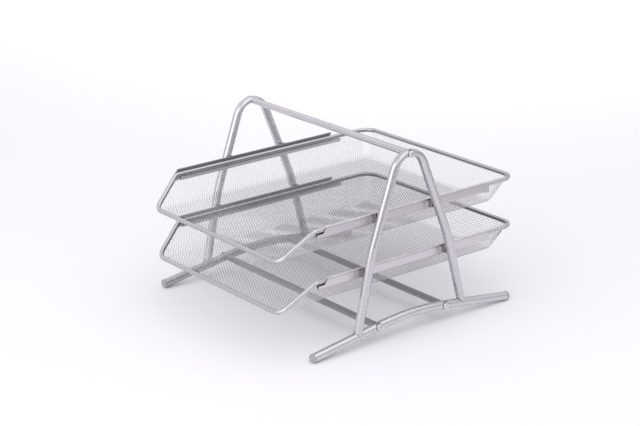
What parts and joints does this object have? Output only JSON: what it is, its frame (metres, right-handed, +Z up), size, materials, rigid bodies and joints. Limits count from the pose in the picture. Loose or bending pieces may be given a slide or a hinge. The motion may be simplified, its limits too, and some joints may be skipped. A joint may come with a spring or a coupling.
{
  "type": "mesh letter tray",
  "caption": "Tiered desk letter tray: bent-tube side frames on arched feet, a handle bar, and mesh trays that slide out on rails by their rim wires.",
  "frame": {"origin": "on the desk, under the middle of the trays", "axes": "+Z up, front is -Y (the trays pull out that way), +X to the right seen from the front"},
  "size_m": [0.3256, 0.35, 0.2239],
  "materials": {
    "tube": "satin silver powder paint",
    "rail": "satin silver powder paint on folded sheet",
    "rim_wire": "satin silver powder paint",
    "mesh": "satin silver powder paint on expanded steel mesh",
    "screw": "zinc plated",
    "end_cap": "silver-grey moulded plastic"
  },
  "bodies": {
    "frame": {"leg_frame_right": "tube", "leg_frame_left": "tube", "foot_tube_right": "tube", "foot_tube_left": "tube", "foot_cap_front_right": "end_cap", "foot_cap_rear_right": "end_cap", "foot_cap_front_left": "end_cap", "foot_cap_rear_left": "end_cap", "handle_bar": "tube", "lower_bar_front": "tube", "lower_bar_rear": "tube", "handle_screws": "screw", "foot_screws": "screw", "rail_upper_right": "rail", "rail_upper_left": "rail", "rail_lower_right": "rail", "rail_lower_left": "rail", "rail_brackets_upper_right": "rail", "rail_brackets_upper_left": "rail", "rail_brackets_lower_right": "rail", "rail_brackets_lower_left": "rail"},
    "upper_tray": {"rim_wire_upper": "rim_wire", "mesh_basket_upper": "mesh"},
    "lower_tray": {"rim_wire_lower": "rim_wire", "mesh_basket_lower": "mesh"}
  },
  "joints": [
    {"name": "upper_tray_slide", "type": "slide", "parent": "frame", "child": "upper_tray", "axis": [0, -1, 0], "range_m": [0, 0.2]},
    {"name": "lower_tray_slide", "type": "slide", "parent": "frame", "child": "lower_tray", "axis": [0, -1, 0], "range_m": [0, 0.2]}
  ]
}
